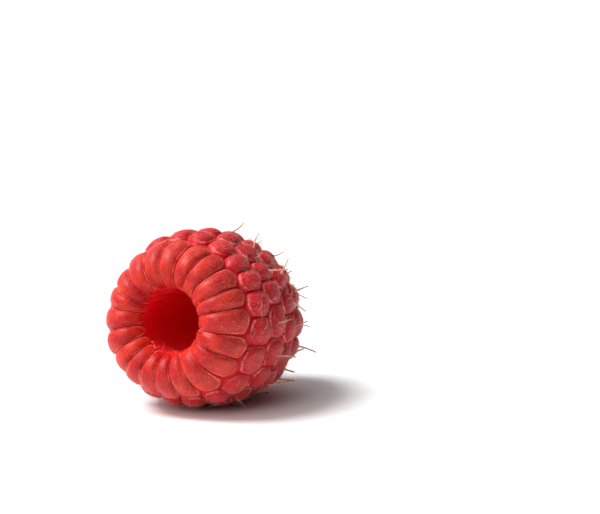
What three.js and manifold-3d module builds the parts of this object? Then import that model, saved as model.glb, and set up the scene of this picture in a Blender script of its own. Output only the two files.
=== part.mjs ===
// A picked raspberry lying on its side: one hollow fruit of drupelets grown together.
// Millimetres, +Z up. The fruit's own axis runs over the Y axis, with its open end towards -Y
// and its tip towards +Y and a little down, as the fruit comes to rest.
import * as THREE from "three";
import { mergeVertices } from "three/addons/utils/BufferGeometryUtils.js";
import Module from "manifold-3d";

// Driving dimensions of the fruit, in millimetres.
const WIDEST_RADIUS = 10.8; // over the crowns of the drupelets
const TIP_REACH = 16.0; // from the widest section to the tip
const RIM_REACH = 9.6; // from the widest section to the front of the rim
const RIM_RADIUS = 6.2; // of the circle along which the rim stands furthest forward
const MOUTH_RADIUS = 3.6; // of the hollow at its lip
const LIP_DEPTH = 2.6; // from the front of the rim to the lip
const HOLLOW_SWELL = 4.6; // the radius that the hollow swells towards behind its lip
const HOLLOW_DEPTH = 15.5; // from the front of the rim to the end of the hollow
const HOLLOW_BLUNTNESS = 0.75; // of its end, as a share of the mouth's radius

// The drupelets that cover it, in rows round the axis.
const ROW_COUNTS = [5, 10, 14, 17, 19, 20, 20, 20]; // from the tip to the rim's row
const RIM_COUNT = 20;
const HOLLOW_COUNTS = [20, 15, 10, 6]; // of their inner ends, row by row in the hollow's wall
const TIP_ROW = 3.4; // how far the first row's drupelets reach from the tip
const ROW_GROWTH = 1.13; // how much longer the rows grow towards the rim
const RIM_OUTSIDE = 5.8; // how far the long rim drupelets reach back over the shoulder
const RIM_INSIDE = 4.1; // and over the lip into the hollow
const SCATTER_ROUND = 0.19; // of a drupelet's width
const SCATTER_ALONG = 0.12; // of a row's length
const ZIGZAG = 0.5; // how far the drupelets of one row reach between those of the next
const CORNER_ROOM = 0.3; // of a drupelet's width, within which two corners of the net level out
const OUT_OF_ROUND = 0.018; // of the radius
const LEAN = 0.16; // how far rows lean round the fruit between its tip and its rim, in radians

// The relief of one drupelet.
const RELIEF = 1.15; // from its crown down to the groove round it
const INNER_RELIEF = 0.12; // the same in the hollow
const CROWN_POWER = 2.1; // how flat its crown is
const WALL_POWER = 2.0; // how steeply it drops at the groove
const FULLNESS = 2.4; // of a crown's outline: 2 is an ellipse, more is squarer
const RIM_FULLNESS = 3.4;
const ROUNDING = 0.45; // of the net's corners at the groove, which grows to 1 at the crown

// How the fruit lies.
const TILT = THREE.MathUtils.degToRad(8);
const ROLL = THREE.MathUtils.degToRad(-92.3);
const PRESSED_FLAT = 0.3; // how much of its lowest drupelets its weight presses flat

// Fineness of the faceted surface.
const SEAM_STEP = 1.4;
const RINGS = [0.6, 0.9, 1];
const RIM_RINGS = [0.3, 0.55, 0.78, 0.93, 1];
const HOLLOW_RINGS = [1];

const SEED = 7; // of the scatter
const TURN = 2 * Math.PI;

// A small generator of even numbers from -1 to 1, the same on every run.
function makeRandom(seed) {
  let state = seed;
  return () => {
    state = (Math.imul(state, 1664525) + 1013904223) >>> 0;
    return (2 * state) / 2 ** 32 - 1;
  };
}

// The outline over the crowns, from the tip round the rim to the end of the hollow. On these
// curves x is the distance from the fruit's axis, and y the distance behind the rim's front.
const sideCurve = new THREE.EllipseCurve(
  0, RIM_REACH, WIDEST_RADIUS, TIP_REACH, Math.PI / 2, 0, true,
);
const shoulderCurve = new THREE.EllipseCurve(
  RIM_RADIUS, RIM_REACH, WIDEST_RADIUS - RIM_RADIUS, RIM_REACH, 0, -Math.PI / 2, true,
);
const lipCurve = new THREE.EllipseCurve(
  RIM_RADIUS, LIP_DEPTH, RIM_RADIUS - MOUTH_RADIUS, LIP_DEPTH, -Math.PI / 2, -Math.PI, true,
);
const hollowCurve = new THREE.CubicBezierCurve(
  new THREE.Vector2(MOUTH_RADIUS, LIP_DEPTH),
  new THREE.Vector2(HOLLOW_SWELL, THREE.MathUtils.lerp(LIP_DEPTH, HOLLOW_DEPTH, 0.5)),
  new THREE.Vector2(HOLLOW_BLUNTNESS * MOUTH_RADIUS, HOLLOW_DEPTH),
  new THREE.Vector2(0, HOLLOW_DEPTH),
);
const outline = new THREE.CurvePath();
[sideCurve, shoulderCurve, lipCurve, hollowCurve].forEach((curve) => outline.add(curve));
const outlineLength = outline.getLength();
const rimFront = sideCurve.getLength() + shoulderCurve.getLength();

// The place on the outline at a distance from the tip, with its outward normal.
function outlineAt(distance) {
  const u = THREE.MathUtils.clamp(distance / outlineLength, 0, 1);
  const point = outline.getPointAt(u);
  const along = outline.getTangentAt(u);
  return { radius: point.x, behind: point.y, outRadius: -along.y, outBehind: along.x };
}

// Rows of drupelets from the tip to the end of the hollow: where each starts and stops, how many
// it has, and its relief.
function layRows() {
  const outer = { relief: RELIEF, fullness: FULLNESS, rings: RINGS, reliefRadius: 0 };
  const inner = { ...outer, relief: INNER_RELIEF, rings: HOLLOW_RINGS };
  const rimStart = rimFront - RIM_OUTSIDE;
  const rimStop = rimFront + RIM_INSIDE;
  const rows = [];
  const addRow = (start, stop, count, look) => rows.push({ start, stop, count, ...look });
  const startOf = (k) => {
    const share = (k - 1) / (ROW_COUNTS.length - 1);
    return k ? THREE.MathUtils.lerp(TIP_ROW, rimStart, share ** ROW_GROWTH) : 0;
  };
  ROW_COUNTS.forEach((count, k) => addRow(startOf(k), startOf(k + 1), count, outer));
  addRow(rimStart, rimStop, RIM_COUNT, {
    ...outer, fullness: RIM_FULLNESS, rings: RIM_RINGS, reliefRadius: outlineAt(rimStart).radius,
  });
  HOLLOW_COUNTS.forEach((count, k) => {
    const pitch = (outlineLength - rimStop) / HOLLOW_COUNTS.length;
    addRow(rimStop + k * pitch, rimStop + (k + 1) * pitch, count, inner);
  });
  return rows;
}

// Gives each row its drupelets' centres and the walls between them, as angles round the axis.
function scatterCentres(rows) {
  const random = makeRandom(SEED);
  rows.forEach((row, k) => {
    const step = TURN / row.count;
    const phase = k % 2 ? step / 2 : 0;
    const pitch = row.stop - row.start;
    row.centres = Array.from({ length: row.count }, (_, i) => ({
      angle: phase + step * (i + SCATTER_ROUND * random()),
      distance: (row.start + row.stop) / 2 + pitch * SCATTER_ALONG * random(),
    }));
    row.walls = row.centres.map((centre, i) => {
      const next = i + 1 < row.count ? row.centres[i + 1].angle : row.centres[0].angle + TURN;
      return (centre.angle + next) / 2;
    });
  });
}

// The corners where drupelets of two rows meet, in order round the axis. Each row's walls end a
// little short of the line between the rows, so the drupelets of one reach between the other's.
function cornersBetween(below, above) {
  const corners = [
    ...below.walls.map((angle) => ({ angle: angle % TURN, side: -1 })),
    ...above.walls.map((angle) => ({ angle: angle % TURN, side: 1 })),
  ].sort((a, b) => a.angle - b.angle);
  const room = (TURN / below.count) * CORNER_ROOM;
  corners.forEach((corner, i) => {
    const next = corners[(i + 1) % corners.length];
    const last = corners[(i + corners.length - 1) % corners.length];
    const gaps = [next, last]
      .filter((other) => other.side !== corner.side)
      .map((other) => Math.abs(Math.atan2(
        Math.sin(other.angle - corner.angle), Math.cos(other.angle - corner.angle))));
    const reach = Math.min(1, Math.min(...gaps, room) / room);
    corner.distance = below.stop + corner.side * ZIGZAG * reach;
  });
  return corners;
}

// Points from one corner to another, without the last.
function seam(from, to) {
  const middle = outlineAt((from.distance + to.distance) / 2);
  const length = Math.hypot((to.angle - from.angle) * middle.radius, to.distance - from.distance);
  const steps = Math.max(1, Math.round(length / SEAM_STEP));
  return Array.from({ length: steps }, (_, i) => ({
    angle: THREE.MathUtils.lerp(from.angle, to.angle, i / steps),
    distance: THREE.MathUtils.lerp(from.distance, to.distance, i / steps),
  }));
}

// The corners of a line between rows that lie from one angle to another, ends included.
function stretch(corners, from, to) {
  const found = [];
  for (const shift of [-TURN, 0, TURN])
    for (const corner of corners) {
      const angle = corner.angle + shift;
      if (angle > from - 1e-6 && angle < to + 1e-6) found.push({ ...corner, angle });
    }
  return found.sort((a, b) => a.angle - b.angle);
}

const atPole = (point) => point.distance < 1e-6 || point.distance > outlineLength - 1e-6;

// One drupelet of a row: the walls on either side of it, and its closed outline as points on the
// crown surface.
function makeCell(row, i, below, above) {
  const centre = row.centres[i];
  const right = row.walls[i];
  const left = i > 0 ? row.walls[i - 1] : row.walls[row.count - 1] - TURN;
  const pole = (distance) => [{ angle: centre.angle, distance }];
  const low = below ? stretch(below, left, right) : pole(0);
  const high = above ? stretch(above, left, right) : pole(outlineLength);
  const corners = [...low, ...high.reverse()];
  const sides = corners.map((corner, k) => {
    const next = corners[(k + 1) % corners.length];
    const points = seam(atPole(corner) ? { ...corner, angle: next.angle } : corner,
      atPole(next) ? { ...next, angle: corner.angle } : next);
    if (atPole(corner)) points[0] = corner;
    return points;
  });
  return { row, centre, left, right, outline: sides.flat() };
}

// A point at a depth under the crown surface, in the fruit's own frame.
function place(point, depth) {
  const at = outlineAt(point.distance);
  const radius = atPole(point) ? 0 : at.radius - depth * at.outRadius;
  const lean = LEAN * Math.sin(2 * point.angle + 1) * (point.distance / rimFront - 1);
  const angle = point.angle + lean;
  const reach = radius * (1 + OUT_OF_ROUND * Math.cos(3 * angle));
  return new THREE.Vector3(
    reach * Math.cos(angle), at.behind - depth * at.outBehind, reach * Math.sin(angle),
  );
}

// The depth of the groove at a drupelet's edge, less where a row narrows over the rim.
function grooveDepth(row, edge) {
  if (!row.reliefRadius) return row.relief;
  return row.relief * Math.min(1, outlineAt(edge.distance).radius / row.reliefRadius);
}

// The share of the way to an edge at which the ring of share t turns, drawn in at the corners of
// the net so that crowns are rounder than it.
function turnAt(cell, edge, t) {
  if (atPole(edge)) return t;
  const { row, centre, left, right } = cell;
  const aside = edge.angle - centre.angle;
  const onward = edge.distance - centre.distance;
  const round = aside / ((aside > 0 ? right : left) - centre.angle);
  const along = onward / ((onward > 0 ? row.stop : row.start) - centre.distance);
  const reach = (round ** row.fullness + along ** row.fullness) ** (1 / row.fullness);
  const rounding = 1 - (1 - ROUNDING) * t ** 2;
  return t * (1 + rounding * (Math.min(1, 1 / reach) - 1));
}

// How much of the groove's depth a drupelet has dropped by at its ring of share t.
const dropAt = (t) => 1 - (1 - t ** CROWN_POWER) ** (1 / WALL_POWER);

const seamKey = (point) => place(point, 0).toArray().map((v) => Math.round(v * 500)).join();

// The whole skin of the fruit as one closed surface.
function skinGeometry() {
  const rows = layRows();
  scatterCentres(rows);
  const lines = rows.slice(1).map((row, k) => cornersBetween(rows[k], row));
  const cells = rows.flatMap((row, k) =>
    row.centres.map((_, i) => makeCell(row, i, lines[k - 1], lines[k])),
  );
  // Neighbours agree on the depth of the groove between them.
  const seamDepths = new Map();
  for (const cell of cells)
    for (const edge of cell.outline) {
      const key = seamKey(edge);
      const entry = seamDepths.get(key) ?? { sum: 0, count: 0 };
      entry.sum += grooveDepth(cell.row, edge);
      entry.count += 1;
      seamDepths.set(key, entry);
    }
  const positions = [];
  const triangle = (a, b, c) => positions.push(...a.toArray(), ...b.toArray(), ...c.toArray());
  for (const cell of cells) {
    const rings = cell.row.rings.map((t) =>
      cell.outline.map((edge) => {
        const { sum, count } = seamDepths.get(seamKey(edge));
        if (t === 1) return place(edge, sum / count);
        const share = turnAt(cell, edge, t);
        const point = {
          angle: THREE.MathUtils.lerp(cell.centre.angle, edge.angle, share),
          distance: THREE.MathUtils.lerp(cell.centre.distance, edge.distance, share),
        };
        return place(point, (sum / count) * dropAt(t));
      }),
    );
    const crown = place(cell.centre, 0);
    cell.outline.forEach((_, j) => {
      const n = (j + 1) % cell.outline.length;
      triangle(crown, rings[0][j], rings[0][n]);
      for (let k = 1; k < rings.length; k++) {
        triangle(rings[k - 1][j], rings[k][j], rings[k][n]);
        triangle(rings[k - 1][j], rings[k][n], rings[k - 1][n]);
      }
    });
  }
  return new THREE.BufferGeometry()
    .setAttribute("position", new THREE.Float32BufferAttribute(positions, 3));
}

const wasm = await Module();
wasm.setup();

function toSolid(geometry) {
  const bare = new THREE.BufferGeometry()
    .setAttribute("position", geometry.getAttribute("position"))
    .setIndex(geometry.getIndex());
  const merged = mergeVertices(bare, 1e-3);
  return new wasm.Manifold(
    new wasm.Mesh({
      numProp: 3,
      vertProperties: merged.attributes.position.array,
      triVerts: new Uint32Array(merged.index.array),
    }),
  );
}

function toGeometry(solid) {
  const mesh = solid.getMesh();
  return new THREE.BufferGeometry()
    .setAttribute("position", new THREE.BufferAttribute(mesh.vertProperties, 3))
    .setIndex(new THREE.BufferAttribute(mesh.triVerts, 1));
}

// Lays the fruit down: rolled about its axis, tip down, and its lowest drupelets pressed flat.
function layDown(geometry) {
  geometry.rotateY(ROLL).rotateX(-TILT);
  geometry.computeBoundingBox();
  const { min, max } = geometry.boundingBox;
  geometry.translate(-(min.x + max.x) / 2, -(min.y + max.y) / 2, -min.z - PRESSED_FLAT);
  const span = 4 * WIDEST_RADIUS;
  const ground = new THREE.BoxGeometry(span, span, span).translate(0, 0, -span / 2);
  return toGeometry(toSolid(geometry).subtract(toSolid(ground)));
}

const fleshMaterial = new THREE.MeshStandardMaterial({
  color: 0xc21f2c, roughness: 0.45, metalness: 0,
});
const raspberry = new THREE.Mesh(layDown(skinGeometry()), fleshMaterial);
raspberry.name = "raspberry";

const root = new THREE.Group();
root.add(raspberry);

export default root;
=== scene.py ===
import math
from dataclasses import dataclass, field

import bpy
import numpy as np
from bpy.props import FloatProperty, FloatVectorProperty, IntProperty, PointerProperty
from mathutils import Matrix, Vector


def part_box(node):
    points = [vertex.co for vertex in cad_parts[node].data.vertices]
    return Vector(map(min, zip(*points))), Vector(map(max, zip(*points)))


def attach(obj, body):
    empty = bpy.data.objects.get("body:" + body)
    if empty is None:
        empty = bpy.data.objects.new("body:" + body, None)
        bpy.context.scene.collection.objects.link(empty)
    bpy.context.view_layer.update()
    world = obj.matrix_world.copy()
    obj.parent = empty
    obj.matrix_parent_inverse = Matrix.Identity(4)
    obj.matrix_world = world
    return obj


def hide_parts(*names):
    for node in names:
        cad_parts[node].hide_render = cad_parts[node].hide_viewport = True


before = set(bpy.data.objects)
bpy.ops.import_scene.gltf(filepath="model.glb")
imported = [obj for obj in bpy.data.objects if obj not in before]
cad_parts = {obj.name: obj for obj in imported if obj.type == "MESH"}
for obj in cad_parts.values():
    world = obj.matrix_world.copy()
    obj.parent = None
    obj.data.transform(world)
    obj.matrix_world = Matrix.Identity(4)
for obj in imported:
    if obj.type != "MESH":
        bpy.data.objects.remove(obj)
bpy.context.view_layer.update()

bl_info = {
    "name": "Raspberry",
    "version": (1, 0, 0),
    "blender": (4, 5, 0),
    "location": "3D View > Sidebar > Raspberry",
    "description": "A picked raspberry lying on its side, with its drupelets, styles and fuzz",
    "category": "Add Mesh",
}

MM = 0.001
TURN = 2 * math.pi

# The net of drupelets, in rows round the fruit's axis from its tip to the end of its hollow.
ROW_COUNTS = [5, 10, 14, 17, 19, 20, 20, 20]
RIM_COUNT = 20
HOLLOW_COUNTS = [20, 15, 10, 6]
TIP_ROW = 3.4 * MM  # how far the first row's drupelets reach from the tip
ROW_GROWTH = 1.13  # how much longer the rows grow towards the rim
RIM_OUTSIDE = 5.8 * MM  # how far the long rim drupelets reach back over the shoulder
RIM_INSIDE = 4.1 * MM  # and over the lip into the hollow
SCATTER_ROUND = 0.19  # of a drupelet's width
SCATTER_ALONG = 0.12  # of a row's length
ZIGZAG = 0.5 * MM  # how far the drupelets of one row reach between those of the next
CORNER_ROOM = 0.3  # of a drupelet's width, within which two corners of the net level out
OUT_OF_ROUND = 0.018  # of the radius
LEAN = 0.16  # how far rows lean round the fruit between its tip and its rim, in radians

# The relief of one drupelet.
CROWN_POWER = 2.1  # how flat its crown is
WALL_POWER = 2.0  # how steeply it drops at the groove
FULLNESS = 2.4  # of a crown's outline: 2 is an ellipse, more is squarer
RIM_FULLNESS = 3.4
ROUNDING = 0.45  # of the net's corners at the groove, which grows to 1 at the crown

# Fineness of the skin.
SEAM_STEP = 0.34 * MM
RINGS = 9
RIM_RINGS = 13
HOLLOW_RINGS = 4
RING_CROWDING = 1.5  # how much the rings crowd towards the groove
CURVE_STEPS = 400
MERGE_REACH = 0.001 * MM  # vertices nearer than this become one
UNEVEN_SCALE = 1.7 * MM  # of the humps that make the drupelets' surface uneven

# What each vertex tells the material: where the frost ends and the hollow's wall begins, past
# the rim's front, and where the frost fades on a drupelet, from 0 at its crown to 1 at its groove.
FROST_ENDS = (-4.5 * MM, 2 * MM)
WALL_BEGINS = (2.6 * MM, 4.4 * MM)
FROST_FADES = (0.5, 0.95)
RIM_FROST_FADES = 0.4  # how much of that fading the rim has

# The finish of the flesh. Patterns are counted to the metre, and where something rises or falls
# on a drupelet is again from 0 at its crown to 1 at its groove.
PATCHES = (900, 420)  # round and along the fruit
VEINS = (4200, 1100)
TONE_STEP = 40  # how far apart two drupelets of unlike tone lie in these patterns
GRAIN = 6500
GRAIN_DEPTH = 0.05 * MM
FROST = 0.3  # how pale a speck of it is at most
# The pale line beside a groove is painted sheen where a drupelet curves away, with the pale bloom
# of its fuzz.
SHEEN_LINE_RISES = (0.84, 0.89)  # from none to full, in the pale line beside a groove
SHEEN_LINE_FALLS = (0.955, 0.91)  # the same from its other side
# Where the creases take their brighter red, a painted glow of light through the flesh.
CREASE_GLOW_BEGINS = (0.92, 0.98)
DARK_HAIR = 0.62  # of a hair's colour, where it is darkest

# Styles, hairs and shreds: how they are modelled and where they stand.
STYLE_BENDS = (0.1, 0.4, 0.7)  # in radians from root to end
STYLE_ROOT = 0.12 * MM  # under the crown
STYLE_SCATTER = 0.8 * MM  # along the fruit
HAIR_BENDS = (0.3, 0.9)
HAIR_ROOT = 0.02 * MM
HEART_DEPTH = 1.6 * MM  # under the crown, of the points that the hairs grow away from
HAIR_SCATTER = 0.5 * MM  # of those points
HAIRS_STOP = 2.5 * MM  # past the rim's front
HAIR_CLEARANCE = 1.3  # hair lengths over the floor
CURL_LENGTH = 4  # a long hair's, in hair lengths, which is also its clearance
CURL_WIDTH = 5
CURL_BEND = 1.8
LIP = 3.6 * MM  # past the rim's front
SHRED_COUNT = 8
SHRED_SPREAD = 1.1  # to both sides of the lowest point of the lip, in radians
SHRED_SCATTER = 0.7 * MM  # along the fruit

# The picture, in pixels of its 600 x 514 frame.
PICTURE_WIDTH = 600
PICTURE_HEIGHT = 514
FRUIT_X = 212.5
FRUIT_Y = 312.5

# The stage, with places from the middle of the fruit.
FLOOR_WIDTH = 6
KEY_PLACE = (-0.19, -0.17, 0.38)
FRONT_PLACE = (-0.05, -0.4, 0.25)
FRONT_WIDTH = 0.3
LIT_SIDE = (-0.6, -0.35, 0.72)  # where the sky is brightest
DIM_SKY = 0.05  # of its strength, on the other side


def length(name, description, default):
    return FloatProperty(
        name=name, description=description, default=default, unit="LENGTH", precision=5
    )


def colour(name, description, default):
    return FloatVectorProperty(
        name=name, description=description, default=default, subtype="COLOR", min=0, max=1
    )


class FruitSize(bpy.types.PropertyGroup):
    widest_radius: length("Widest radius", "Over the crowns of the drupelets", 10.8 * MM)
    tip_reach: length("Tip reach", "From the widest section to the tip", 16.0 * MM)
    rim_reach: length("Rim reach", "From the widest section to the rim's front", 9.6 * MM)
    rim_radius: length("Rim radius", "Of the circle where the rim stands forward", 6.2 * MM)
    mouth_radius: length("Mouth radius", "Of the hollow at its lip", 3.6 * MM)
    lip_depth: length("Lip depth", "From the rim's front to the lip", 2.6 * MM)
    hollow_swell: length("Hollow swell", "What the hollow swells towards", 4.6 * MM)
    hollow_depth: length("Hollow depth", "From the rim's front to its end", 15.5 * MM)
    relief: length("Relief", "From a crown down to the groove round it", 1.15 * MM)
    inner_relief: length("Inner relief", "The same in the hollow", 0.12 * MM)
    unevenness: length("Unevenness", "Of the drupelets' surface", 0.07 * MM)
    tilt: FloatProperty(
        name="Tilt", description="How far the tip is down", default=math.radians(8),
        subtype="ANGLE",
    )
    roll: FloatProperty(
        name="Roll", description="About the fruit's axis", default=math.radians(-92.3),
        subtype="ANGLE",
    )
    seed: IntProperty(name="Seed", description="Of the drupelets' scatter", default=7)


class SkinColours(bpy.types.PropertyGroup):
    side: colour("Side", "Of the side drupelets", (0.52, 0.001, 0.012))
    # The darker side colour, also used as painted shade towards the tip.
    side_dark_and_shaded: colour("Side, deep", "Of the darker side drupelets", (0.30, 0.001, 0.008))
    rim: colour("Rim", "Of the long rim drupelets", (0.38, 0.002, 0.004))
    rim_mottle: colour("Rim mottle", "Of the patches on the rim", (0.52, 0.018, 0.004))
    # The crease colours are deep red, lightened by a painted glow of light through the flesh.
    crease: colour("Crease", "Between the side drupelets", (0.56, 0.001, 0.010))
    rim_crease_glow: colour("Rim crease", "Between the rim drupelets", (0.58, 0.001, 0.003))
    # The hollow's wall is its own red, painted paler as a glow of light through the flesh.
    hollow: colour("Hollow", "Of the wall of the hollow", (0.75, 0.002, 0.009))
    # Pale colour of the fuzz's bloom, and of the painted sheen beside the grooves.
    bloom_and_sheen: colour("Bloom", "Of the pale edges of the drupelets", (0.85, 0.28, 0.25))


class StyleSettings(bpy.types.PropertyGroup):
    length: length("Length", "Of a dried style", 2.5 * MM)
    radius: length("Radius", "Of a style at its root", 0.11 * MM)
    share: FloatProperty(
        name="Share", description="Of the side drupelets that kept their style", default=0.6,
        min=0, max=1, subtype="FACTOR",
    )
    colour: colour("Colour", "Of the dried styles", (0.85, 0.40, 0.28))
    seed: IntProperty(name="Seed", description="Of where the styles stand", default=16)


class FuzzSettings(bpy.types.PropertyGroup):
    length: length("Length", "Of a hair of the fuzz", 0.36 * MM)
    radius: length("Radius", "Of a hair at its root", 0.006 * MM)
    density: FloatProperty(name="Density", description="Hairs on a square mm", default=13)
    long_share: FloatProperty(
        name="Long share", description="Of the side's hairs, which are long and curl over it",
        default=0.035, min=0, max=1, subtype="FACTOR",
    )
    colour: colour("Colour", "Of the fuzz", (0.82, 0.33, 0.28))
    seed: IntProperty(name="Seed", description="Of where the hairs stand", default=5)


class ShredSettings(bpy.types.PropertyGroup):
    size: length("Size", "Of a shred of torn flesh on the hollow's lip", 0.36 * MM)
    colour: colour("Colour", "Of the shreds", (0.62, 0.13, 0.10))
    seed: IntProperty(name="Seed", description="Of where the shreds lie", default=3)


class StageSettings(bpy.types.PropertyGroup):
    azimuth: FloatProperty(
        name="Azimuth", description="Of the camera, round the fruit",
        default=math.radians(29), subtype="ANGLE",
    )
    elevation: FloatProperty(
        name="Elevation", description="Of the camera", default=math.radians(10.5),
        subtype="ANGLE",
    )
    lens: FloatProperty(
        name="Lens", description="Focal length", default=135, unit="CAMERA"
    )
    picture_scale: FloatProperty(
        name="Picture scale", description="Pixels per metre at the fruit", default=8300
    )
    floor: colour("Floor", "Of the floor", (0.93, 0.93, 0.93))
    key_light: FloatProperty(
        name="Key light", description="Its strength, in watts per square metre", default=3.6
    )
    key_width: FloatProperty(
        name="Key width", description="The angle that the key light fills, which softens it",
        default=math.radians(28), subtype="ANGLE",
    )
    front_light: FloatProperty(
        name="Front light", description="Its power", default=0.6, unit="POWER"
    )
    sky: FloatProperty(name="Sky", description="Strength of the sky", default=0.74)


# A small generator of even numbers from -1 to 1, the same on every run.
def make_random(seed):
    state = seed

    def draw():
        nonlocal state
        state = (state * 1664525 + 1013904223) % 2**32
        return 2 * state / 2**32 - 1

    return draw


def smoothstep(low, high, value):
    share = np.clip((value - low) / (high - low), 0, 1)
    return share * share * (3 - 2 * share)


class Outline:
    """The fruit's outline over the crowns, from its tip round the rim to the end of its hollow.

    It is kept as a fine table by the distance from the tip. A place on it has its radius from
    the fruit's axis, its distance behind the rim's front and its outward normal.
    """

    def __init__(self, size):
        def ellipse(behind, middle, width, depth, start, stop):
            turn = np.linspace(start, stop, CURVE_STEPS)
            return np.column_stack(
                (middle + width * np.cos(turn), behind + depth * np.sin(turn))
            )

        side = ellipse(
            size.rim_reach, 0, size.widest_radius, size.tip_reach, math.pi / 2, 0
        )
        shoulder = ellipse(
            size.rim_reach, size.rim_radius, size.widest_radius - size.rim_radius,
            size.rim_reach, 0, -math.pi / 2,
        )
        lip = ellipse(
            size.lip_depth, size.rim_radius, size.rim_radius - size.mouth_radius,
            size.lip_depth, -math.pi / 2, -math.pi,
        )
        half_way = (size.lip_depth + size.hollow_depth) / 2
        controls = np.array([
            (size.mouth_radius, size.lip_depth),
            (size.hollow_swell, half_way),
            (0.75 * size.mouth_radius, size.hollow_depth),
            (0, size.hollow_depth),
        ])
        share = np.linspace(0, 1, CURVE_STEPS)[:, None]
        weights = (
            (1 - share) ** 3, 3 * share * (1 - share) ** 2, 3 * share**2 * (1 - share), share**3
        )
        hollow = sum(weight * point for weight, point in zip(weights, controls))
        points = np.vstack((side, shoulder[1:], lip[1:], hollow[1:]))
        steps = np.linalg.norm(np.diff(points, axis=0), axis=1)
        self.distances = np.concatenate(([0], np.cumsum(steps)))
        self.points = points
        along = np.gradient(points, self.distances, axis=0)
        self.along = along / np.linalg.norm(along, axis=1)[:, None]
        self.length = self.distances[-1]
        self.rim_front = self.distances[len(side) + len(shoulder) - 2]

    def _read(self, distance, column):
        return np.interp(distance, self.distances, column)

    def radius(self, distance):
        return self._read(distance, self.points[:, 0])

    def place(self, angle, distance, depth):
        """Points at a depth under the crowns, in the fruit's own frame."""
        angle, distance, depth = np.broadcast_arrays(angle, distance, depth)
        out_radius = -self._read(distance, self.along[:, 1])
        out_behind = self._read(distance, self.along[:, 0])
        radius = self.radius(distance) - depth * out_radius
        radius = np.where(self.at_pole(distance), 0, radius)
        leaning = angle + LEAN * np.sin(2 * angle + 1) * (distance / self.rim_front - 1)
        reach = radius * (1 + OUT_OF_ROUND * np.cos(3 * leaning))
        behind = self._read(distance, self.points[:, 1]) - depth * out_behind
        return np.stack(
            (reach * np.cos(leaning), behind, reach * np.sin(leaning)), axis=-1
        )

    def at_pole(self, distance):
        near = 1e-6 * MM
        return (distance < near) | (distance > self.length - near)


@dataclass
class Row:
    """One row of drupelets: where it starts and stops on the outline, and its relief."""

    start: float
    stop: float
    count: int
    relief: float
    rings: int
    fullness: float = FULLNESS
    relief_radius: float = 0
    centres: list = field(default_factory=list)
    walls: list = field(default_factory=list)

    def walls_beside(self, i):
        return self.walls[i - 1] - (TURN if i == 0 else 0), self.walls[i]


def lay_rows(size, outline):
    rim_start = outline.rim_front - RIM_OUTSIDE
    rim_stop = outline.rim_front + RIM_INSIDE

    def start_of(k):
        share = (k - 1) / (len(ROW_COUNTS) - 1)
        return TIP_ROW + (rim_start - TIP_ROW) * share**ROW_GROWTH if k else 0

    rows = [
        Row(start_of(k), start_of(k + 1), count, size.relief, RINGS)
        for k, count in enumerate(ROW_COUNTS)
    ]
    rows.append(Row(
        rim_start, rim_stop, RIM_COUNT, size.relief, RIM_RINGS, RIM_FULLNESS,
        outline.radius(rim_start),
    ))
    pitch = (outline.length - rim_stop) / len(HOLLOW_COUNTS)
    for k, count in enumerate(HOLLOW_COUNTS):
        start = rim_stop + k * pitch
        rows.append(Row(start, start + pitch, count, size.inner_relief, HOLLOW_RINGS))
    return rows


# Gives each row its drupelets' centres and the walls between them, as angles round the axis.
def scatter_centres(rows, seed):
    draw = make_random(seed)
    for k, row in enumerate(rows):
        step = TURN / row.count
        phase = step / 2 if k % 2 else 0
        for i in range(row.count):
            angle = phase + step * (i + SCATTER_ROUND * draw())
            middle = (row.start + row.stop) / 2
            row.centres.append((angle, middle + (row.stop - row.start) * SCATTER_ALONG * draw()))
        angles = [angle for angle, _ in row.centres]
        following = angles[1:] + [angles[0] + TURN]
        row.walls = [(angle + after) / 2 for angle, after in zip(angles, following)]


# The corners where drupelets of two rows meet, in order round the axis. Each row's walls end a
# little short of the line between the rows, so the drupelets of one reach between the other's.
def corners_between(below, above):
    corners = sorted(
        [(angle % TURN, -1) for angle in below.walls]
        + [(angle % TURN, 1) for angle in above.walls]
    )
    room = TURN / below.count * CORNER_ROOM
    placed = []
    for i, (angle, side) in enumerate(corners):
        reach = 1
        for other, other_side in (corners[(i + 1) % len(corners)], corners[i - 1]):
            gap = abs(math.remainder(other - angle, TURN))
            if other_side != side:
                reach = min(reach, gap / room)
        placed.append((angle, below.stop + side * ZIGZAG * reach))
    return placed


# The corners of a line between rows that lie from one angle to another, ends included.
def stretch(corners, start, stop):
    near = 1e-6
    return sorted(
        (angle + shift, distance)
        for shift in (-TURN, 0, TURN)
        for angle, distance in corners
        if start - near < angle + shift < stop + near
    )


# Points from one corner to another, without the last.
def seam(outline, start, stop):
    middle = outline.radius((start[1] + stop[1]) / 2)
    run = math.hypot((stop[0] - start[0]) * middle, stop[1] - start[1])
    steps = max(1, round(run / SEAM_STEP))
    shares = np.arange(steps)[:, None] / steps
    return np.array(start) + shares * (np.array(stop) - np.array(start))


# The closed outline of one drupelet, as angles and distances on the crown surface.
def drupelet_outline(outline, row, i, below, above):
    centre_angle = row.centres[i][0]
    left, right = row.walls_beside(i)
    low = stretch(below, left, right) if below else [(centre_angle, 0)]
    high = stretch(above, left, right) if above else [(centre_angle, outline.length)]
    corners = low + high[::-1]
    sides = []
    for corner, after in zip(corners, corners[1:] + corners[:1]):
        start = (after[0], corner[1]) if outline.at_pole(corner[1]) else corner
        stop = (corner[0], after[1]) if outline.at_pole(after[1]) else after
        points = seam(outline, start, stop)
        points[0] = corner
        sides.append(points)
    return np.vstack(sides)


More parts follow.
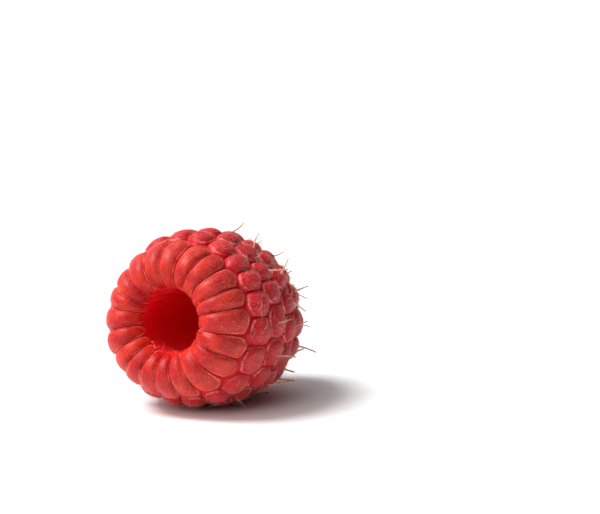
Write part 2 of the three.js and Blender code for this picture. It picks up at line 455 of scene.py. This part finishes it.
@dataclass
class Drupelet:
    row: Row
    row_index: int
    index: int
    edge: np.ndarray
    outline: Outline
    keys: list = None
    depths: np.ndarray = None

    @property
    def centre(self):
        return self.row.centres[self.index]

    def spread(self):
        """How far its edge is from its centre, as shares of its reach round and along."""
        angle, distance = self.centre
        left, right = self.row.walls_beside(self.index)
        aside, onward = self.edge[:, 0] - angle, self.edge[:, 1] - distance
        round_it = aside / np.where(aside > 0, right - angle, left - angle)
        along = onward / np.where(onward > 0, self.row.stop - distance, self.row.start - distance)
        return round_it, along

    def groove_depths(self):
        """The depth of the groove round it, less where a row narrows over the rim."""
        depths = np.full(len(self.edge), self.row.relief)
        if self.row.relief_radius:
            radii = self.outline.radius(self.edge[:, 1])
            depths *= np.minimum(1, radii / self.row.relief_radius)
        return depths

    def crown(self, share, spokes=slice(None)):
        """The net's places at a share of the way to points of its edge, and their depths.

        A ring of them is rounder than the edge, and the more so the nearer it is to the middle.
        """
        power = self.row.fullness
        edge = self.edge[spokes]
        round_it, along = (values[spokes] for values in self.spread())
        reach = (round_it**power + along**power) ** (1 / power)
        rounding = 1 - (1 - ROUNDING) * share**2
        turn = share * (1 + rounding * (np.minimum(1, 1 / reach) - 1))
        turn = np.where(self.outline.at_pole(edge[:, 1]), share, turn)
        net = np.array(self.centre) + turn[:, None] * (edge - np.array(self.centre))
        drop = 1 - (1 - share**CROWN_POWER) ** (1 / WALL_POWER)
        return net, self.depths[spokes] * drop


def grow_drupelets(size, outline):
    rows = lay_rows(size, outline)
    scatter_centres(rows, size.seed)
    lines = [None, *map(corners_between, rows, rows[1:]), None]
    drupelets = [
        Drupelet(
            row, k, i, drupelet_outline(outline, row, i, lines[k], lines[k + 1]), outline
        )
        for k, row in enumerate(rows)
        for i in range(row.count)
    ]
    # Neighbours agree on the depth of the groove that they share.
    shared = {}
    for drupelet in drupelets:
        drupelet.keys = seam_keys(outline, drupelet.edge)
        for key, depth in zip(drupelet.keys, drupelet.groove_depths()):
            shared.setdefault(key, []).append(depth)
    for drupelet in drupelets:
        drupelet.depths = np.array([np.mean(shared[key]) for key in drupelet.keys])
    return drupelets


# Points of an edge rounded to a fine grid, by which neighbours know the ones that they share.
def seam_keys(outline, edge):
    grid = 0.002 * MM
    spots = outline.place(edge[:, 0], edge[:, 1], 0)
    return [tuple(spot) for spot in np.round(spots / grid).astype(int)]


# One drupelet's net, ring after ring from its crown to its groove: each vertex's place on the
# outline, its point, and how far it is from the crown, which is 1 at the groove.
def drupelet_net(outline, drupelet):
    rings, edge = drupelet.row.rings, drupelet.edge
    shares = 1 - (1 - np.arange(1, rings + 1) / rings) ** RING_CROWDING
    nets = [np.array([drupelet.centre])]
    spots = [outline.place(*drupelet.centre, 0)[None]]
    for share in shares[:-1]:
        net, depth = drupelet.crown(share)
        nets.append(net)
        spots.append(outline.place(net[:, 0], net[:, 1], depth))
    nets.append(edge)
    spots.append(outline.place(edge[:, 0], edge[:, 1], drupelet.depths))
    away = np.concatenate(([0], np.repeat(shares, len(edge))))
    return np.vstack(nets), np.vstack(spots), away


# The faces of that net, if its vertices are numbered from the first one on.
def net_faces(first, around, rings):
    faces = []
    for j in range(around):
        after = (j + 1) % around
        faces.append((first, first + 1 + j, first + 1 + after))
        for ring in range(rings - 1):
            inner = first + 1 + ring * around
            outer = inner + around
            faces.append((inner + j, outer + j, outer + after, inner + after))
    return faces


# What the material reads on one drupelet. Its tone, from 0 to 1, makes it differ from the others,
# and is mixed with a painted shade that darkens the drupelets nearer the tip.
def paint_drupelet(outline, drupelet, net, away, tone):
    angle, distance = net.T
    centre_angle, centre_distance = drupelet.centre
    aside = (angle - centre_angle) * outline.radius(distance)
    past_front = distance - outline.rim_front
    # Painted shade: how much darker a side drupelet is painted for lying nearer the tip.
    tip_shade = 1 - min(1, centre_distance / outline.rim_front)
    fading = smoothstep(*FROST_FADES, away)
    if drupelet.row.relief_radius:
        fading *= RIM_FROST_FADES
    every = np.ones(len(net))
    return {
        "edge": away,
        "tone_and_tip_shade": (tone + tip_shade) / 2 * every,
        "rim": float(drupelet.row_index >= len(ROW_COUNTS)) * every,
        "hollow": smoothstep(*WALL_BEGINS, past_front),
        "frosted": (1 - smoothstep(*FROST_ENDS, past_front)) * (1 - fading),
        "grain": np.column_stack((aside, distance - centre_distance, tone * every)),
    }


# The skin's vertices and faces, and for each vertex what its material reads.
def skin_data(size, outline, drupelets):
    draw = make_random(size.seed + 1)
    points, faces, paints = [], [], []
    for drupelet in drupelets:
        net, spots, away = drupelet_net(outline, drupelet)
        faces += net_faces(len(points), len(drupelet.edge), drupelet.row.rings)
        points.extend(spots)
        paints.append(paint_drupelet(outline, drupelet, net, away, 0.5 + 0.5 * draw()))
    painted = {
        name: np.concatenate([paint[name] for paint in paints]) for name in paints[0]
    }
    return np.array(points), faces, painted


# Lays points down as the fruit lies: rolled about its axis, tip down, on the CAD solid's place.
def laying_matrix(size, points):
    turn = Matrix.Rotation(-size.tilt, 4, "X") @ Matrix.Rotation(size.roll, 4, "Y")
    laid = points @ np.array(turn.to_3x3()).T
    low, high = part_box("raspberry")
    shift = (np.array(low) + np.array(high)) / 2 - (laid.min(0) + laid.max(0)) / 2
    shift[2] = high[2] - laid[:, 2].max()
    return Matrix.Translation(Vector(shift)) @ turn


class Fruit:
    """The fruit as it lies, which the skin is made from and the hairs find their places on."""

    def __init__(self, size):
        self.outline = Outline(size)
        self.drupelets = grow_drupelets(size, self.outline)
        self.points, self.faces, self.painted = skin_data(size, self.outline, self.drupelets)
        self.lay = laying_matrix(size, self.points)

    def spot(self, angle, distance, depth):
        """The point at a place on its outline and a depth under the crowns."""
        return self.lay @ Vector(self.outline.place(angle, distance, depth))


def select_only(piece):
    bpy.ops.object.select_all(action="DESELECT")
    piece.select_set(True)
    bpy.context.view_layer.objects.active = piece


def add_piece(name, points, faces, matrix=Matrix.Identity(4)):
    mesh = bpy.data.meshes.new(name)
    mesh.from_pydata([tuple(point) for point in points], [], faces)
    mesh.transform(matrix)
    piece = bpy.data.objects.new(name, mesh)
    bpy.context.scene.collection.objects.link(piece)
    select_only(piece)
    return piece


def apply_modifier(piece, kind, **settings):
    bpy.ops.object.modifier_add(type=kind)
    modifier = piece.modifiers[-1]
    for name, value in settings.items():
        setattr(modifier, name, value)
    bpy.ops.object.modifier_apply(modifier=modifier.name)


def new_material(name):
    material = bpy.data.materials.new(name)
    material.use_nodes = True
    return material, material.node_tree, material.node_tree.nodes["Principled BSDF"]


def add_node(tree, kind, inputs=None, **settings):
    node = tree.nodes.new(kind)
    for name, value in settings.items():
        setattr(node, name, value)
    for socket, value in (inputs or {}).items():
        if isinstance(value, bpy.types.NodeSocket):
            tree.links.new(value, node.inputs[socket])
        else:
            node.inputs[socket].default_value = value
    return node


def attribute(tree, name):
    return add_node(tree, "ShaderNodeAttribute", attribute_name=name).outputs["Fac"]


def remap(tree, value, low, high, to_low=0.0, to_high=1.0):
    node = add_node(
        tree, "ShaderNodeMapRange",
        {"Value": value, "From Min": low, "From Max": high, "To Min": to_low, "To Max": to_high},
        interpolation_type="SMOOTHSTEP",
    )
    return node.outputs["Result"]


def multiply(tree, first, second):
    node = add_node(tree, "ShaderNodeMath", {0: first, 1: second}, operation="MULTIPLY")
    return node.outputs["Value"]


def mix(tree, share, first, second):
    node = add_node(tree, "ShaderNodeMix", data_type="RGBA")
    for socket, value in ((0, share), (6, first), (7, second)):
        if isinstance(value, bpy.types.NodeSocket):
            tree.links.new(value, node.inputs[socket])
        else:
            node.inputs[socket].default_value = (
                (*value, 1) if hasattr(value, "__len__") else value
            )
    return node.outputs[2]


def noise(tree, scale, detail):
    coordinates = add_node(tree, "ShaderNodeTexCoord").outputs["Object"]
    node = add_node(
        tree, "ShaderNodeTexNoise", {"Vector": coordinates, "Scale": scale, "Detail": detail}
    )
    return node.outputs["Fac"]


# Noise drawn out along the drupelets, and different on each of them.
def streaks(tree, aside, along, detail):
    place = add_node(tree, "ShaderNodeAttribute", attribute_name="grain").outputs["Vector"]
    stretched = add_node(
        tree, "ShaderNodeVectorMath", {0: place, 1: (aside, along, TONE_STEP)}, operation="MULTIPLY"
    )
    node = add_node(
        tree, "ShaderNodeTexNoise",
        {"Vector": stretched.outputs["Vector"], "Scale": 1, "Detail": detail},
    )
    return node.outputs["Fac"]


def flesh_colour(tree, colours, grain):
    edge, rim = attribute(tree, "edge"), attribute(tree, "rim")
    patches = remap(tree, streaks(tree, *PATCHES, 3), 0.4, 0.62)
    veins = remap(tree, streaks(tree, *VEINS, 2), 0.3, 0.7, 0.4, 1)
    # Side drupelets darken with their own tone and with painted shade towards the tip.
    side = mix(tree, attribute(tree, "tone_and_tip_shade"), colours.side, colours.side_dark_and_shaded)
    front = mix(tree, patches, colours.rim, colours.rim_mottle)
    flesh = mix(tree, rim, side, front)

    # Pale specks on the crowns.
    specks = multiply(tree, remap(tree, grain, 0.32, 0.68, 0, FROST), veins)
    frost = multiply(tree, specks, attribute(tree, "frosted"))
    flesh = mix(tree, frost, flesh, colours.bloom_and_sheen)

    # A broken pale line round each drupelet, beside the red crease: painted sheen where it curves
    # away, with the pale bloom of its fuzz.
    sheen_line = multiply(tree, remap(tree, edge, *SHEEN_LINE_RISES), remap(tree, edge, *SHEEN_LINE_FALLS))
    sheen_breaks = multiply(
        tree, remap(tree, grain, 0.35, 0.65, 0.3, 0.85), remap(tree, patches, 0, 1, 0.2, 1)
    )
    flesh = mix(tree, multiply(tree, sheen_line, sheen_breaks), flesh, colours.bloom_and_sheen)
    # The creases' own deep red, lightened by a painted glow of light through the flesh where shade
    # would fall.
    crease = mix(tree, rim, colours.crease, colours.rim_crease_glow)
    flesh = mix(tree, remap(tree, edge, *CREASE_GLOW_BEGINS), flesh, crease)

    # The hollow's wall: its own red, painted paler as a glow of light shining through the flesh.
    flesh = mix(tree, attribute(tree, "hollow"), flesh, colours.hollow)
    shaded = add_node(tree, "ShaderNodeVectorMath", {0: flesh}, operation="SCALE")
    tree.links.new(remap(tree, grain, 0.3, 0.7, 0.9, 1.12), shaded.inputs["Scale"])
    return shaded.outputs["Vector"]


def flesh_material(colours):
    material, tree, shader = new_material("flesh")
    grain = noise(tree, GRAIN, 2)
    bump = add_node(
        tree, "ShaderNodeBump", {"Height": grain, "Strength": 0.75, "Distance": GRAIN_DEPTH}
    )
    tree.links.new(flesh_colour(tree, colours, grain), shader.inputs["Base Color"])
    tree.links.new(bump.outputs["Normal"], shader.inputs["Normal"])
    tree.links.new(remap(tree, grain, 0.3, 0.7, 0.42, 0.68), shader.inputs["Roughness"])
    shader.inputs["Specular IOR Level"].default_value = 0.05
    shader.inputs["Coat Weight"].default_value = 0.4
    shader.inputs["Coat Roughness"].default_value = 0.42
    shader.inputs["Subsurface Weight"].default_value = 0.85
    shader.inputs["Subsurface Radius"].default_value = (1.0, 0.08, 0.05)
    shader.inputs["Subsurface Scale"].default_value = 1.5 * MM
    shader.inputs["Sheen Weight"].default_value = 0.15
    shader.inputs["Sheen Roughness"].default_value = 0.3
    shader.inputs["Sheen Tint"].default_value = (1.0, 0.55, 0.5, 1)
    shader.inputs["IOR"].default_value = 1.42
    return material


def hair_material(name, hair_colour):
    material, tree, shader = new_material(name)
    patches = remap(tree, noise(tree, 1500, 2), 0.35, 0.65)
    darker = [DARK_HAIR * channel for channel in hair_colour]
    tree.links.new(mix(tree, patches, hair_colour, darker), shader.inputs["Base Color"])
    shader.inputs["Roughness"].default_value = 0.5
    shader.inputs["Subsurface Weight"].default_value = 0.3
    shader.inputs["Subsurface Radius"].default_value = (1.0, 0.5, 0.3)
    shader.inputs["Subsurface Scale"].default_value = 0.2 * MM
    return material


# One hair, modelled at the origin and growing up Z: a tapering tube that bends as it grows.
def model_hair(name, radius, height, sides, joints, bend, taper):
    bpy.ops.object.select_all(action="DESELECT")
    bpy.ops.mesh.primitive_circle_add(vertices=sides, radius=radius, fill_type="NGON")
    hair = bpy.context.object
    hair.name = name
    bpy.ops.object.mode_set(mode="EDIT")
    step = height / joints
    lean, spot = 0.0, Vector()
    for _ in range(joints):
        lean += bend / joints
        move = Vector((0, math.sin(lean) * step, math.cos(lean) * step))
        spot += move
        bpy.ops.mesh.extrude_region_move(TRANSFORM_OT_translate={"value": move})
        bpy.ops.transform.rotate(
            value=bend / joints, orient_axis="X", orient_type="GLOBAL", center_override=spot
        )
        bpy.ops.transform.resize(value=(taper, taper, taper), center_override=spot)
    bpy.ops.mesh.select_all(action="SELECT")
    bpy.ops.mesh.normals_make_consistent(inside=False)
    bpy.ops.object.mode_set(mode="OBJECT")
    return hair


# One piece of many copies, each a modelled shape and its place. The models are removed.
def plant(name, models, copies):
    points, faces = [], []
    for model, matrix in copies:
        first = len(points)
        points.extend(matrix @ vertex.co for vertex in model.data.vertices)
        faces.extend([first + v for v in face.vertices] for face in model.data.polygons)
    for model in models:
        bpy.data.objects.remove(model)
    piece = add_piece(name, points, faces)
    bpy.ops.object.shade_smooth()
    return piece


# Where a hair stands: its root, its growth, the side that it bends towards, and its size.
def hair_place(root, growth, bend, size):
    along = growth.normalized()
    across = bend.cross(along).normalized()
    turn = Matrix((across, along.cross(across), along)).transposed().to_4x4()
    return Matrix.Translation(root) @ turn @ Matrix.Scale(size, 4)


class RASPBERRY_OT_drupelets(bpy.types.Operator):
    """Grows the skin of drupelets round the hollow, where the solid fruit is"""

    bl_idname = "raspberry.drupelets"
    bl_label = "Drupelets"

    def execute(self, context):
        size = context.scene.raspberry_size
        fruit = Fruit(size)
        skin = add_piece("drupelet_skin", fruit.points, fruit.faces, fruit.lay)
        for name, values in fruit.painted.items():
            kind, key = ("FLOAT", "value") if values.ndim == 1 else ("FLOAT_VECTOR", "vector")
            layer = skin.data.attributes.new(name, kind, "POINT")
            layer.data.foreach_set(key, values.astype(np.float32).ravel())
        bpy.ops.object.mode_set(mode="EDIT")
        bpy.ops.mesh.select_all(action="SELECT")
        bpy.ops.mesh.remove_doubles(threshold=MERGE_REACH)
        bpy.ops.mesh.normals_make_consistent(inside=False)
        bpy.ops.object.mode_set(mode="OBJECT")
        uneven = bpy.data.textures.new("uneven", "CLOUDS")
        uneven.noise_scale = UNEVEN_SCALE
        apply_modifier(skin, "DISPLACE", texture=uneven, strength=size.unevenness)
        apply_modifier(skin, "SMOOTH", factor=0.4, iterations=1)
        for vertex in skin.data.vertices:  # its weight presses its lowest drupelets flat
            vertex.co.z = max(vertex.co.z, 0)
        bpy.ops.object.shade_smooth()
        skin.data.materials.append(flesh_material(context.scene.raspberry_colours))
        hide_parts("raspberry")
        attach(skin, "root")
        return {"FINISHED"}


class RASPBERRY_OT_styles(bpy.types.Operator):
    """Plants dried styles on the side drupelets, lying over them towards the tip"""

    bl_idname = "raspberry.styles"
    bl_label = "Styles"

    def execute(self, context):
        settings = context.scene.raspberry_styles
        fruit = Fruit(context.scene.raspberry_size)
        draw = make_random(settings.seed)
        shapes = [
            model_hair(f"style_{k}", settings.radius, settings.length, 5, 7, bend, 0.95)
            for k, bend in enumerate(STYLE_BENDS)
        ]
        copies = []
        for drupelet in fruit.drupelets:
            beside_rim = drupelet.row_index >= len(ROW_COUNTS) - 1
            if beside_rim or draw() > 2 * settings.share - 1:
                continue
            angle, distance = drupelet.centre
            distance += STYLE_SCATTER * draw()
            root = fruit.spot(angle, distance, STYLE_ROOT)
            out = (fruit.spot(angle, distance, -1 * MM) - root).normalized()
            tip = (fruit.spot(angle, distance - 0.5 * MM, STYLE_ROOT) - root).normalized()
            across = out.cross(tip)
            # It leans towards the tip, a little raised, and turns up or to a side.
            growth = (0.3 + 0.2 * draw()) * out + tip + 0.4 * draw() * across
            bend = out + 1.6 * draw() * across
            shape = shapes[int(1.5 + 1.49 * draw())]  # any of the three
            place = hair_place(root, growth, bend, 1 + 0.35 * draw())
            if min((place @ vertex.co).z for vertex in shape.data.vertices) > 0:
                copies.append((shape, place))
        styles = plant("styles", shapes, copies)
        styles.data.materials.append(hair_material("dry_style", settings.colour))
        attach(styles, "root")
        return {"FINISHED"}


class RASPBERRY_OT_fuzz(bpy.types.Operator):
    """Covers the drupelets with short fine hairs, and a few long ones that curl over the side"""

    bl_idname = "raspberry.fuzz"
    bl_label = "Fuzz"

    def execute(self, context):
        settings = context.scene.raspberry_fuzz
        fruit = Fruit(context.scene.raspberry_size)
        outline, lay = fruit.outline, fruit.lay
        draw = np.random.default_rng(settings.seed)
        shapes = [
            model_hair(f"hair_{k}", settings.radius, settings.length, 3, 1, bend, 0.6)
            for k, bend in enumerate(HAIR_BENDS)
        ]
        curl = model_hair(
            "curl", CURL_WIDTH * settings.radius, CURL_LENGTH * settings.length,
            3, 6, CURL_BEND, 0.88,
        )
        copies = []
        for drupelet in fruit.drupelets:
            if drupelet.row_index > len(ROW_COUNTS):
                continue
            row, (angle, distance) = drupelet.row, drupelet.centre
            left, right = row.walls_beside(drupelet.index)
            area = (right - left) * outline.radius(distance) * (row.stop - row.start)
            count = round(settings.density * area / MM**2 / (2 if row.relief_radius else 1))
            # Each hair stands on the way from the crown to a point of the edge, and most stand
            # far out. It grows away from a point in the drupelet's heart.
            spokes = draw.integers(len(drupelet.edge), size=count)
            net, depth = drupelet.crown(draw.uniform(0.02, 0.75, count) ** 0.45, spokes)
            roots = outline.place(net[:, 0], net[:, 1], depth + HAIR_ROOT)
            hearts = outline.place(
                angle + 0.3 * (net[:, 0] - angle), distance + 0.75 * (net[:, 1] - distance),
                HEART_DEPTH,
            )
            growths = roots - hearts + draw.normal(0, HAIR_SCATTER, (count, 3))
            outside = net[:, 1] < outline.rim_front + HAIRS_STOP
            for root, growth in zip(roots[outside], growths[outside]):
                spot, way = lay @ Vector(root), lay.to_3x3() @ Vector(growth)
                if spot.z < HAIR_CLEARANCE * settings.length:
                    continue
                bend = Vector(draw.normal(0, 1, 3))
                scale = draw.uniform(0.6, 1.3)
                shape = shapes[draw.integers(len(shapes))]
                curls = draw.random() < settings.long_share and not row.relief_radius
                # A long hair leaves the skin at a slant and curls over it.
                if curls and spot.z > CURL_LENGTH * settings.length:
                    out = way.normalized()
                    aside = out.cross(bend).normalized()
                    way, bend = 0.45 * out + aside, out.cross(aside) - 0.15 * out
                    shape = curl
                copies.append((shape, hair_place(spot, way, bend, scale)))
        fuzz = plant("fuzz", [*shapes, curl], copies)
        fuzz.data.materials.append(hair_material("fuzz_hair", settings.colour))
        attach(fuzz, "root")
        return {"FINISHED"}


class RASPBERRY_OT_shreds(bpy.types.Operator):
    """Lays pale shreds of torn flesh on the lower lip of the hollow"""

    bl_idname = "raspberry.shreds"
    bl_label = "Shreds"

    def execute(self, context):
        settings = context.scene.raspberry_shreds
        fruit = Fruit(context.scene.raspberry_size)
        draw = make_random(settings.seed)
        bpy.ops.object.select_all(action="DESELECT")
        bpy.ops.mesh.primitive_ico_sphere_add(subdivisions=2, radius=0.5 * settings.size)
        flake = context.object
        bpy.ops.transform.resize(value=(1, 0.55, 0.3))
        bpy.ops.object.transform_apply(location=False, rotation=False, scale=True)
        thread = model_hair("thread", 0.08 * settings.size, 2 * settings.size, 5, 5, 1.2, 0.85)
        lip = fruit.outline.rim_front + LIP
        turns = np.linspace(0, TURN, 360)
        lowest = min(turns, key=lambda turn: fruit.spot(turn, lip, 0).z)
        copies = []
        for k in range(SHRED_COUNT):
            angle = lowest + SHRED_SPREAD * draw()
            distance = lip + SHRED_SCATTER * draw()
            root = fruit.spot(angle, distance, HAIR_ROOT)
            above = fruit.spot(angle, distance, -1 * MM)
            # It lies nearly flat on the lip, any way round.
            growth = 0.15 * (above - root) + 1.2 * MM * Vector((draw(), draw(), draw()))
            shape = thread if k % 3 else flake
            copies.append((shape, hair_place(root, growth, above - root, 1 + 0.4 * draw())))
        shreds = plant("shreds", [flake, thread], copies)
        shreds.data.materials.append(hair_material("torn_flesh", settings.colour))
        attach(shreds, "root")
        return {"FINISHED"}


class RASPBERRY_OT_stage(bpy.types.Operator):
    """Lays the pale floor, hangs the soft lights and sets up the camera"""

    bl_idname = "raspberry.stage"
    bl_label = "Stage"

    def execute(self, context):
        settings = context.scene.raspberry_stage
        low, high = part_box("raspberry")
        middle = (low + high) / 2
        bpy.ops.object.select_all(action="DESELECT")
        bpy.ops.mesh.primitive_plane_add(size=FLOOR_WIDTH)
        floor = context.object
        floor.name = "floor"
        material, tree, shader = new_material("pale_floor")
        shader.inputs["Base Color"].default_value = (*settings.floor, 1)
        shader.inputs["Roughness"].default_value = 0.9
        shader.inputs["Specular IOR Level"].default_value = 0.1
        floor.data.materials.append(material)

        def hang(kind, name, place):
            spot = middle + Vector(place)
            facing = (middle - spot).to_track_quat("-Z", "Y").to_euler()
            bpy.ops.object.light_add(type=kind, location=spot, rotation=facing)
            context.object.name = name
            return context.object.data

        key = hang("SUN", "key", KEY_PLACE)
        key.energy = settings.key_light
        key.angle = settings.key_width
        front = hang("AREA", "front", FRONT_PLACE)
        front.shape = "DISK"
        front.size = FRONT_WIDTH
        front.energy = settings.front_light

        world = bpy.data.worlds.new("sky")
        world.use_nodes = True
        sky = world.node_tree
        facing = add_node(sky, "ShaderNodeTexCoord").outputs["Generated"]
        lit_side = add_node(
            sky, "ShaderNodeVectorMath", {0: facing, 1: LIT_SIDE}, operation="DOT_PRODUCT"
        )
        strength = remap(
            sky, lit_side.outputs["Value"], -0.1, 1, DIM_SKY * settings.sky, settings.sky
        )
        sky.nodes["Background"].inputs["Color"].default_value = (1, 1, 1, 1)
        # The camera sees the sky at full strength, so the background is plain white.
        seen = add_node(sky, "ShaderNodeLightPath").outputs["Is Camera Ray"]
        shown = add_node(sky, "ShaderNodeMath", {0: strength, 1: seen}, operation="MAXIMUM")
        sky.links.new(shown.outputs["Value"], sky.nodes["Background"].inputs["Strength"])
        context.scene.world = world
        context.scene.view_settings.view_transform = "Standard"

        turn, rise = settings.azimuth, settings.elevation
        back = Vector((
            math.sin(turn) * math.cos(rise), -math.cos(turn) * math.cos(rise), math.sin(rise)
        ))
        sensor = 36
        focal = settings.lens / sensor * PICTURE_WIDTH  # in pixels
        aside = math.atan2(PICTURE_WIDTH / 2 - FRUIT_X, focal)
        upward = math.atan2(FRUIT_Y - PICTURE_HEIGHT / 2, focal)
        look = (
            Matrix.Rotation(-aside, 3, "Z")
            @ (-back).to_track_quat("-Z", "Y").to_matrix()
            @ Matrix.Rotation(upward, 3, "X")
        )
        spot = middle + back * focal / settings.picture_scale
        bpy.ops.object.camera_add(location=spot, rotation=look.to_euler())
        camera = context.object
        camera.data.sensor_width = sensor
        camera.data.lens = settings.lens
        camera.data.clip_start = 0.01
        context.scene.camera = camera
        return {"FINISHED"}


class RASPBERRY_PT_panel(bpy.types.Panel):
    """Lists the pieces of the raspberry"""

    bl_label = "Raspberry"
    bl_idname = "RASPBERRY_PT_panel"
    bl_space_type = "VIEW_3D"
    bl_region_type = "UI"
    bl_category = "Raspberry"

    def draw(self, context):
        for operator, settings in PIECES:
            box = self.layout.box()
            for name in settings:
                group = getattr(context.scene, name)
                for key in group.bl_rna.properties.keys():
                    if key not in ("rna_type", "name"):
                        box.prop(group, key)
            box.operator(operator.bl_idname)


PIECES = [
    (RASPBERRY_OT_drupelets, ["raspberry_size", "raspberry_colours"]),
    (RASPBERRY_OT_styles, ["raspberry_styles"]),
    (RASPBERRY_OT_fuzz, ["raspberry_fuzz"]),
    (RASPBERRY_OT_shreds, ["raspberry_shreds"]),
    (RASPBERRY_OT_stage, ["raspberry_stage"]),
]
SETTINGS = {
    "raspberry_size": FruitSize,
    "raspberry_colours": SkinColours,
    "raspberry_styles": StyleSettings,
    "raspberry_fuzz": FuzzSettings,
    "raspberry_shreds": ShredSettings,
    "raspberry_stage": StageSettings,
}
CLASSES = [*SETTINGS.values(), *(operator for operator, _ in PIECES), RASPBERRY_PT_panel]


def register():
    for cls in CLASSES:
        bpy.utils.register_class(cls)
    for name, group in SETTINGS.items():
        setattr(bpy.types.Scene, name, PointerProperty(type=group))


def unregister():
    for name in SETTINGS:
        delattr(bpy.types.Scene, name)
    for cls in reversed(CLASSES):
        bpy.utils.unregister_class(cls)


def main():
    register()
    bpy.ops.raspberry.drupelets()
    bpy.ops.raspberry.styles()
    bpy.ops.raspberry.fuzz()
    bpy.ops.raspberry.shreds()
    bpy.ops.raspberry.stage()


if __name__ == "__main__":
    main()
